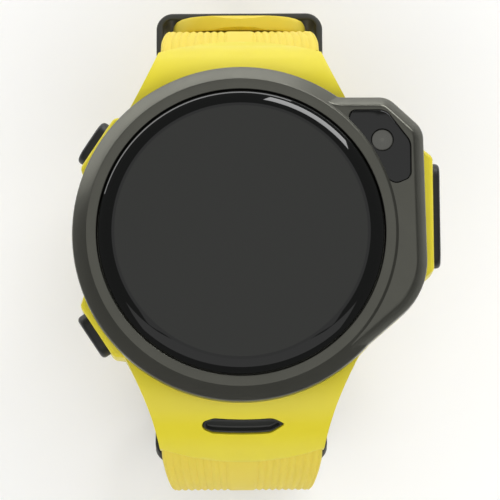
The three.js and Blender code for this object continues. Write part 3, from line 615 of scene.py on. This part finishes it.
def make_case():
    body = turned(filleted([(0, CASE_BASE, 0), (CASE_RADIUS, CASE_BASE, 1.1), (CASE_RADIUS, CASE_TOP, 0.2),
                            (0, CASE_TOP, 0)], closed=False, steps=5), closed=False)
    shoulder = slab(shoulder_outline(-0.25), CASE_BASE + 1.4, CASE_TOP)
    soften(shoulder, 0.9, 4, at_height(CASE_BASE + 1.4))
    body = carve(body, shoulder, "UNION")
    for button in BUTTONS.values():
        body = carve(body, towards(seat_solid(button), button["angle"]), "UNION")
    for side in (1, -1):
        body = carve(body, make_lug(side), "UNION")
    body = carve(body, slab(circle_outline(CAVITY_RADIUS), CASE_FLOOR, CASE_TOP + 1))
    body = carve(body, slab(circle_outline(15), CASE_BASE - 1, CASE_FLOOR + 1))
    for button in BUTTONS.values():
        body = carve(body, towards(button_prism(button, 0.22, button["seat"] - 2.4, 40), button["angle"]))
        stem = round_bar((15, button["along"], BUTTON_Z), (button["seat"], button["along"], BUTTON_Z), 1.55)
        body = carve(body, towards(stem, button["angle"]))
    body = carve(body, on_lower_lug(slab(outlet_outline(0.12), -0.95, 4)))
    finish_piece("case_body", body, YELLOW_ABS, "watch", "case_yellow", "middle_case")


def make_outlet():
    trim = slab(outlet_outline(0), -0.85, 0.16)
    soften(trim, 0.14, 3, at_height(0.16))
    dish = slab(outlet_outline(-0.36), -0.6, 1)
    soften(dish, 0.75, 6, at_height(-0.6))
    trim = carve(trim, dish)
    finish_piece("sound_outlet", on_lower_lug(trim), OUTLET_BLACK, "watch", "gloss_black", "speaker_outlet")


def make_buttons():
    for name, button in BUTTONS.items():
        cap = button_prism(button, 0, button["seat"] - 1.6, button["face"])
        soften(cap, 0.55, 4, lambda e: all(v.co.x > button["face"] - 0.01 for v in e.verts))
        stem = round_bar((17.3, button["along"], BUTTON_Z),
                         (button["seat"] - 1.5, button["along"], BUTTON_Z), 0.8)
        join(cap, stem)
        finish_piece("button_cap_" + name, towards(cap, button["angle"]), BUTTON_BLACK, "button_" + name,
                     "button_black", "button_" + name)


# ---- strap ----
def loop_place(distance, offset):
    """(y, z) at a distance along the loop from the middle of its flat back, and an offset outwards."""
    side = 1 if distance >= 0 else -1
    rest = abs(distance) - FLAT[side]
    if rest <= 0:
        return distance, BACK_HEIGHT - offset
    if rest <= CORNER_LENGTH:
        angle = rest / CORNER_RADIUS - math.pi / 2
        reach = CORNER_RADIUS + offset
        return side * (FLAT[side] + reach * math.cos(angle)), CORNER_Z + reach * math.sin(angle)
    return side_place((rest - CORNER_LENGTH) / SIDE_RADIUS - CORNER_ANGLE, offset, side)


def side_place(angle, offset, side):
    """(y, z) at an angle above the horizontal on one of the two side arcs."""
    reach = SIDE_RADIUS + offset
    return side * (ARC_Y + FLAT[side] - CORNER_Y + reach * math.cos(angle)), ARC_Z + reach * math.sin(angle)


def side_distance(degrees, side):
    """Distance along the loop of an angle above the horizontal on a side arc."""
    return side * (FLAT[side] + CORNER_LENGTH + SIDE_RADIUS * (math.radians(degrees) + CORNER_ANGLE))


def corner_distance(degrees):
    """Distance along the loop of an angle below the horizontal on the 6 o'clock corner arc."""
    return -(FLAT[-1] + CORNER_RADIUS * math.radians(90 - degrees))


def outer_to_loop(distance):
    """A distance measured along the outer layer, as a distance along the loop."""
    side = 1 if distance >= 0 else -1
    rest = abs(distance) - FLAT[side]
    if rest <= 0:
        return distance
    outer_corner = CORNER_LENGTH * (CORNER_RADIUS + LAYER_PITCH) / CORNER_RADIUS
    if rest <= outer_corner:
        return side * (FLAT[side] + rest * CORNER_LENGTH / outer_corner)
    beyond = (rest - outer_corner) * SIDE_RADIUS / (SIDE_RADIUS + LAYER_PITCH)
    return side * (FLAT[side] + CORNER_LENGTH + beyond)


def smooth_step(value, start, end):
    share = min(max((value - start) / (end - start), 0), 1)
    return share * share * (3 - 2 * share)


def strap_half_width(height):
    for (low, narrow), (high, wide) in zip(STRAP_WIDTHS, STRAP_WIDTHS[1:]):
        if height <= high:
            return narrow + (wide - narrow) * (height - low) / (high - low)
    return STRAP_WIDTHS[-1][1]


def wrap(bm, layer=lambda distance: 0.0):
    """Bends a strap made flat (X across, Y along, Z outwards) round the loop, and tapers it."""
    for vert in bm.verts:
        x, distance, offset = vert.co
        y, z = loop_place(distance, offset + layer(distance))
        vert.co = (x * strap_half_width(z) / STRAP_NOMINAL, y, z)
    return bm


def flat_band(start, end, across=126, pitch=0.9):
    """A flat strap from one distance to another, as a closed slab of small faces."""
    bm = bmesh.new()
    along = max(4, round((end - start) / pitch))
    bmesh.ops.create_grid(bm, x_segments=across, y_segments=along, size=0.5)
    bmesh.ops.scale(bm, vec=(2 * STRAP_NOMINAL, end - start, 1), verts=bm.verts)
    bmesh.ops.translate(bm, vec=(0, (start + end) / 2, -STRAP_HALF_THICK), verts=bm.verts)
    made = bmesh.ops.extrude_face_region(bm, geom=bm.faces[:])["geom"]
    rising = [item for item in made if isinstance(item, bmesh.types.BMVert)]
    bmesh.ops.translate(bm, vec=(0, 0, 2 * STRAP_HALF_THICK), verts=rising)
    bmesh.ops.recalc_face_normals(bm, faces=bm.faces)
    return bm


def rib_drop(x):
    """How far the outer face lies below its crown at a place across the strap."""
    if abs(x) < RIB_FREE or abs(x) > STRAP_NOMINAL - 0.45:
        return 0
    phase = (abs(x) - RIB_FREE) / RIB_PITCH
    return RIB_DEPTH * (1 - abs(math.cos(math.pi * phase))) ** 0.8


def mould_surface(bm, rib_fade, root_start):
    """Cuts the ribs, rounds the long edges, and thickens the root that meets the lug."""
    edge = 0.5
    for vert in bm.verts:
        x, distance, offset = vert.co
        over = max(0, abs(x) - (STRAP_NOMINAL - edge))
        rounding = edge - math.sqrt(max(0, edge * edge - over * over))
        if offset > 0.9:
            vert.co.z -= rib_drop(x) * rib_fade(distance) + rounding
        elif offset < -0.9:
            vert.co.z += rounding
            root = smooth_step(abs(distance), abs(root_start), abs(root_start) + 5)
            vert.co.z -= 1.3 * root if distance * root_start > 0 else 0


def hole_cutters():
    cutter = bmesh.new()
    for i in range(HOLES):
        middle = outer_to_loop(FIRST_HOLE + i * HOLE_PITCH)
        slot = slab(slot_outline(HOLE_LENGTH * 0.92, HOLE_WIDTH, 8), -3, 3)
        bmesh.ops.rotate(slot, cent=(0, 0, 0), matrix=Matrix.Rotation(math.pi / 2, 3, "Z"), verts=slot.verts)
        bmesh.ops.translate(slot, vec=(0, middle, 0), verts=slot.verts)
        join(cutter, slot)
    return cutter


def lug_eye(side):
    """The eye by which a strap half hangs on its lug bar."""
    bar = "lug_bar_upper" if side > 0 else "lug_bar_lower"
    _, y, z = (low_mm(bar) + high_mm(bar)) / 2
    eye = round_bar((-8.4, y, z), (8.4, y, z), 1.5)
    return carve(eye, round_bar((-10, y, z), (10, y, z), 0.8))


def make_strap_short():
    root = side_distance(LUG_END[1] + 2.3, 1)
    end = corner_distance(64.6) + 1.2
    band = flat_band(end, root)
    band = carve(band, block((-1.4, end - 1, -3), (1.4, end + 1.8, 3)))
    mould_surface(band, lambda s: smooth_step(s, end, end + 3), side_distance(20, 1))
    wrap(band)
    for low, high in ((-9.2, -1.4), (1.4, 9.2)):
        eye = round_bar((low, PIN_Y, PIN_Z), (high, PIN_Y, PIN_Z), 1.6)
        join(band, carve(eye, round_bar((low - 1, PIN_Y, PIN_Z), (high + 1, PIN_Y, PIN_Z), 0.95)))
    join(band, lug_eye(1))
    finish_piece("strap_buckle_half", band, YELLOW_SILICONE, "watch", "strap_yellow", "strap_short")


def make_strap_long():
    root = side_distance(LUG_END[-1] + 2.3, -1)
    tip = side_distance(7.4, 1)
    tuck_start, tuck_end = side_distance(-46, -1), side_distance(-58.5, -1)
    band = flat_band(root, tip)
    band = carve(band, hole_cutters())
    mould_surface(band, lambda s: 1 - smooth_step(s, tip - 12, tip - 7), side_distance(15, -1))
    round_tip(band, tip)
    wrap(band, lambda s: LAYER_PITCH * smooth_step(s, tuck_start, tuck_end))
    join(band, lug_eye(-1))
    finish_piece("strap_hole_half", band, YELLOW_SILICONE, "watch", "strap_yellow", "strap_long")


def round_tip(bm, tip):
    """Draws the square end of the loose half in to a round tip, and thins its rim."""
    reach = 7.5
    for vert in bm.verts:
        into = vert.co.y - (tip - reach)
        if into <= 0:
            continue
        share = min(into / reach, 1)
        along = math.sin(share * math.pi / 2)
        vert.co.y = tip - reach + reach * along
        vert.co.x *= max(math.sqrt(max(1 - along ** 2.6, 0)), 0.02)
        vert.co.z *= 1 - 0.45 * smooth_step(along, 0.93, 1)


# ---- buckle, keeper and bars ----
def bar_along(path, section, closed_ends=True):
    """Sweeps a closed section along points given as (position, across, outwards) frames."""
    bm = bmesh.new()
    rings = []
    for position, across, outwards in path:
        rings.append([bm.verts.new(position + across * a + outwards * b) for a, b in section])
    for ring in rings:
        for a, b in zip(ring, ring[1:] + ring[:1]):
            bm.edges.new((a, b))
    bmesh.ops.bridge_loops(bm, edges=bm.edges[:])
    if closed_ends:
        bm.faces.new(rings[0])
        bm.faces.new(rings[-1])
    bmesh.ops.recalc_face_normals(bm, faces=bm.faces)
    return bm


def make_keeper():
    """A soft band round both strap layers: a rounded sleeve cut to length and bent to the side arc."""
    box_high = high_mm("keeper")
    half_width = box_high.x
    inner, outer = -STRAP_HALF_THICK - 0.3, LAYER_PITCH + STRAP_HALF_THICK + 0.3
    wall = 0.95
    ring = filleted([(-half_width, inner - wall, 1.1), (half_width, inner - wall, 1.1),
                     (half_width, outer + wall, 2.3), (-half_width, outer + wall, 2.3)], steps=10)
    hole = filleted([(-half_width + wall, inner, 0.4), (half_width - wall, inner, 0.4),
                     (half_width - wall, outer, 1.1), (-half_width + wall, outer, 1.1)], steps=10)
    start, end = -15.2, -2.8
    length = SIDE_RADIUS * math.radians(end - start)
    sleeve = carve(slab(ring, 0, length), slab(hole, -1, length + 1))
    upright = [e for e in sleeve.edges if abs(e.verts[0].co.z - e.verts[1].co.z) > 1]
    bmesh.ops.subdivide_edges(sleeve, edges=upright, cuts=8)
    soften(sleeve, 0.3, 3, lambda e: at_height(0)(e) or at_height(length)(e))
    first = side_distance(start, 1)
    for vert in sleeve.verts:
        x, offset, along = vert.co
        y, z = loop_place(first + along, offset)
        vert.co = (x, y, z)
    finish_piece("keeper_loop", sleeve, BLACK_SILICONE, "keeper", "keeper_black", "keeper")


def make_buckle():
    """A bowed bar frame: two arms from the pin to a round-cornered front bar outside the strap."""
    half_width = high_mm("buckle_frame").x
    arm_x = half_width - 1.3
    front = side_distance(-42.3, -1)
    pin_offset = -0.6
    pin_distance = corner_distance(64.6)
    corner = 2.2
    flat = [(arm_x, pin_distance + 0.4), (arm_x, pin_distance - 3)]
    turn = [(arm_x - corner + corner * math.cos(a), front + corner - corner * math.sin(a))
            for a in (math.pi / 2 * k / 8 for k in range(9))]
    half = flat + turn
    plan = half + [(-x, s) for x, s in reversed(half)]
    path = []
    points = [lift_buckle(x, s, pin_distance, front, pin_offset) for x, s in plan]
    for i, point in enumerate(points):
        before, after = points[max(i - 1, 0)], points[min(i + 1, len(points) - 1)]
        along = (after - before).normalized()
        outwards = loop_normal(plan[i][1])
        across = along.cross(outwards).normalized()
        path.append((point, across, across.cross(along).normalized()))
    section = filleted([(-1.25, -0.85, 0.45), (1.25, -0.85, 0.45), (1.25, 0.85, 0.45), (-1.25, 0.85, 0.45)],
                       steps=4)
    bm = bar_along(path, section)
    for side in (1, -1):
        boss = round_bar((side * (arm_x - 1.25), PIN_Y, PIN_Z), (side * (arm_x + 1.25), PIN_Y, PIN_Z), 1.6)
        soften(boss, 0.35, 3)
        join(bm, boss)
    finish_piece("buckle_bow", bm, BLACK_COATING, "buckle_frame", "buckle_black", "buckle_frame")


def loop_normal(distance):
    y0, z0 = loop_place(distance, 0)
    y1, z1 = loop_place(distance, 1)
    return Vector((0, y1 - y0, z1 - z0))


def lift_buckle(x, distance, pin_distance, front, pin_offset):
    """The middle of the buckle bar: on the pin at one end, outside the strap at the other."""
    share = smooth_step(-distance, -pin_distance, -front - 1.5)
    y, z = loop_place(distance, pin_offset + (2.2 - pin_offset) * share)
    return Vector((x, y, z))


def make_tongue():
    """A flat bar that rises from the pin through the strap hole and lies on the front bar."""
    angles = ((60.5, 2.3), (58.2, 3.4), (55.5, 3.95), (51, 4.05), (47, 4.05), (42.3, 3.85), (39.2, 3.7))
    spine = [Vector((0, PIN_Y, PIN_Z))]
    spine += [Vector((0, *side_place(math.radians(-a), o, -1))) for a, o in angles]
    path = []
    for i, point in enumerate(spine):
        before, after = spine[max(i - 1, 0)], spine[min(i + 1, len(spine) - 1)]
        along = (after - before).normalized()
        across = Vector((1, 0, 0))
        path.append((point, across, across.cross(along).normalized()))
    section = filleted([(-1, -0.5, 0.25), (1, -0.5, 0.25), (1, 0.5, 0.25), (-1, 0.5, 0.25)], steps=3)
    bm = bar_along(path, section)
    eye = round_bar((-1, PIN_Y, PIN_Z), (1, PIN_Y, PIN_Z), 1.45)
    soften(eye, 0.25, 2)
    join(bm, eye)
    finish_piece("buckle_prong", bm, BLACK_COATING, "buckle_tongue", "buckle_black", "buckle_tongue")


# ---- back of the case ----
def make_back():
    cover = turned(filleted([(0, COVER_BASE, 0), (17.0, COVER_BASE, 1.2), (18.2, COVER_BASE + 0.9, 0.4),
                             (18.2, COVER_TOP, 0.1), (0, COVER_TOP, 0)], closed=False, steps=5), closed=False)
    for i in range(1, 5):
        middle = (low_mm(f"back_screw_{i}") + high_mm(f"back_screw_{i}")) / 2
        cover = carve(cover, round_bar((middle.x, middle.y, 30), (middle.x, middle.y, COVER_BASE + 1.1), 1.5))
    cover = carve(cover, round_bar((0, 0, 30), (0, 0, COVER_BASE + 0.9), 5.25, 96))
    for side in ("left", "right"):
        middle = (low_mm("charge_contact_" + side) + high_mm("charge_contact_" + side)) / 2
        cover = carve(cover, round_bar((middle.x, middle.y, 30), (middle.x, middle.y, 50), 0.95))
    finish_piece("back_plate", cover, BACK_PLASTIC, "watch", "bezel_black", "back_cover")
    window = turned(filleted([(0, COVER_BASE + 0.8, 0), (5.1, COVER_BASE + 0.8, 0.1),
                              (5.1, COVER_BASE + 0.15, 0.3),
                              (3.6, COVER_BASE - 0.3, 1.5), (0, COVER_BASE - 0.33, 0)], closed=False,
                              steps=5),
                    closed=False, steps=96)
    finish_piece("sensor_pane", window, GLOSS_BLACK, "watch", "gloss_black", "sensor_window")


# ---- CAD nodes that keep their shape ----
def dress_inner_nodes():
    finishes = {
        BOARD_RESIST: ["main_board"],
        CELL_FOIL: ["battery"],
        STAINLESS: ["vibration_motor", "sim_holder", "buckle_pin", "lug_bar_upper", "lug_bar_lower"],
        GOLD_PLATE: ["microphone", "charge_contact_left", "charge_contact_right"],
        BACK_PLASTIC: ["speaker", "camera_module"],
        RUBBER_SEAL: ["display_gasket", "back_gasket"],
        GLOSS_BLACK: ["display_panel"],
    }
    finishes[STAINLESS] += [f"back_screw_{i}" for i in range(1, 5)]
    finishes[STAINLESS] += ["button_switch_" + name for name in BUTTONS]
    finishes[RUBBER_SEAL] += ["button_seal_" + name for name in BUTTONS]
    for material, names in finishes.items():
        for name in names:
            slots = frame["nodes"][name].data.materials
            slots.clear()
            slots.append(material)


# ---- floor, light and camera ----
def make_stage():
    bpy.ops.mesh.primitive_plane_add(size=4, location=(0, 0, -0.0002))
    floor = bpy.context.object
    floor.name = "floor"
    pale, *_ = new_surface("pale_floor", Roughness=0.9, Base_Color=srgb("FAFAFA"))
    floor.data.materials.append(pale)


def add_softbox(name, azimuth, elevation, distance, size, radiance, mirrored=True):
    """A soft rectangular light facing the display; azimuth is clockwise from 12 o'clock, in degrees."""
    azimuth, elevation = math.radians(azimuth), math.radians(elevation)
    aim = Vector((0, 0, GLASS_TOP * MM))
    away = Vector((math.sin(azimuth) * math.cos(elevation), math.cos(azimuth) * math.cos(elevation),
                   math.sin(elevation)))
    light = bpy.data.lights.new(name, "AREA")
    light.shape = "RECTANGLE"
    light.size, light.size_y = size
    light.energy = radiance * math.pi * size[0] * size[1]
    lamp = bpy.data.objects.new(name, light)
    lamp.location = aim + away * distance
    lamp.rotation_euler = away.to_track_quat("Z", "Y").to_euler()
    lamp.visible_glossy = mirrored
    bpy.context.scene.collection.objects.link(lamp)


def light_scene():
    """Soft boxes round the watch, a small one to streak the glass edge, and a low card at 12 o'clock."""
    world = bpy.data.worlds.new("studio")
    world.use_nodes = True
    sky = world.node_tree.nodes["Background"]
    sky.inputs["Color"].default_value = (1, 1, 1, 1)
    sky.inputs["Strength"].default_value = 0.17
    bpy.context.scene.world = world
    bpy.context.scene.view_settings.view_transform = "Standard"
    add_softbox("overhead", 0, 89, 0.7, (0.8, 0.6), 0.5)
    add_softbox("front_box", 180, 52, 0.6, (1.2, 0.3), 0.58)
    add_softbox("streak_box", 27, 24, 0.6, (0.34, 0.2), 7.0)
    add_softbox("white_card", -24, -3, 0.6, (1.1, 0.16), 3.6)
    add_softbox("front_fill", 180, 50, 0.7, (0.8, 0.6), 1.7, mirrored=False)
    add_softbox("back_fill", 0, 28, 0.7, (0.8, 0.5), 0.9, mirrored=False)
    add_softbox("left_fill", -90, 40, 0.7, (0.6, 0.6), 0.8, mirrored=False)
    add_softbox("right_fill", 90, 40, 0.7, (0.6, 0.6), 0.8, mirrored=False)


def place_camera():
    """In front of the display, a little below it and to its left, at about 0.37 m."""
    distance = 0.375
    below, left, roll = math.radians(8), math.radians(0.35), math.radians(0.35)
    target = Vector((1.12, -2.6, GLASS_TOP)) * MM
    away = Vector((-math.sin(left), -math.sin(below) * math.cos(left), math.cos(below) * math.cos(left)))
    lens = bpy.data.cameras.new("camera")
    lens.sensor_width = 36
    lens.lens = 36 * distance / 0.0638
    lens.clip_start = 0.01
    camera = bpy.data.objects.new("camera", lens)
    camera.location = target + away * distance
    back = away.normalized()
    right = Vector((math.sin(roll), math.cos(roll), 0)).cross(back).normalized()
    up = back.cross(right)
    camera.rotation_euler = Matrix((right, up, back)).transposed().to_euler()
    bpy.context.scene.collection.objects.link(camera)
    bpy.context.scene.camera = camera


place_camera()
light_scene()
make_stage()
make_bezel()
make_glass()
make_camera()
make_case()
make_outlet()
make_buttons()
make_strap_short()
make_strap_long()
make_keeper()
make_buckle()
make_tongue()
make_back()
dress_inner_nodes()
